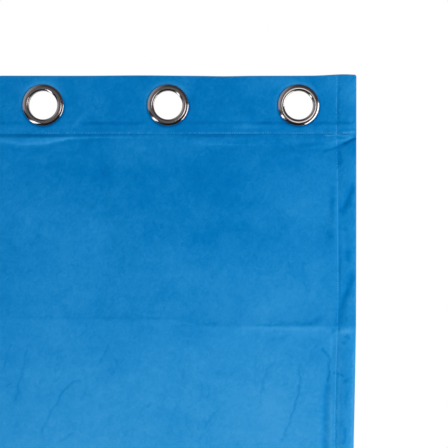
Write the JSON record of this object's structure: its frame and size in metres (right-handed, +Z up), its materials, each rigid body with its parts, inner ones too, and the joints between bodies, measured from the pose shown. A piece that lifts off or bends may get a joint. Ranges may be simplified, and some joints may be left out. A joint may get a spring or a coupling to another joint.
{
  "type": "curtain panel",
  "caption": "Flat-hanging velvet curtain panel with a stiffened eyelet heading, side hems and a deep foot hem.",
  "frame": {"origin": "middle of the heading's top edge, in the middle of the cloth's thickness", "axes": "+Z up along the drop, +X to the right across the width as seen from the front, -Y out of the front face"},
  "size_m": [1.4, 0.0114, 2.7514],
  "materials": {
    "velvet": "soft cotton velvet with a short pile and light creases",
    "eyelet_metal": "polished plated metal"
  },
  "bodies": {
    "root": {"heading": "velvet", "panel": "velvet", "eyelet_front_1": "eyelet_metal", "eyelet_back_1": "eyelet_metal", "eyelet_front_2": "eyelet_metal", "eyelet_back_2": "eyelet_metal", "eyelet_front_3": "eyelet_metal", "eyelet_back_3": "eyelet_metal", "eyelet_front_4": "eyelet_metal", "eyelet_back_4": "eyelet_metal", "eyelet_front_5": "eyelet_metal", "eyelet_back_5": "eyelet_metal", "eyelet_front_6": "eyelet_metal", "eyelet_back_6": "eyelet_metal", "eyelet_front_7": "eyelet_metal", "eyelet_back_7": "eyelet_metal", "eyelet_front_8": "eyelet_metal", "eyelet_back_8": "eyelet_metal"}
  },
  "joints": []
}
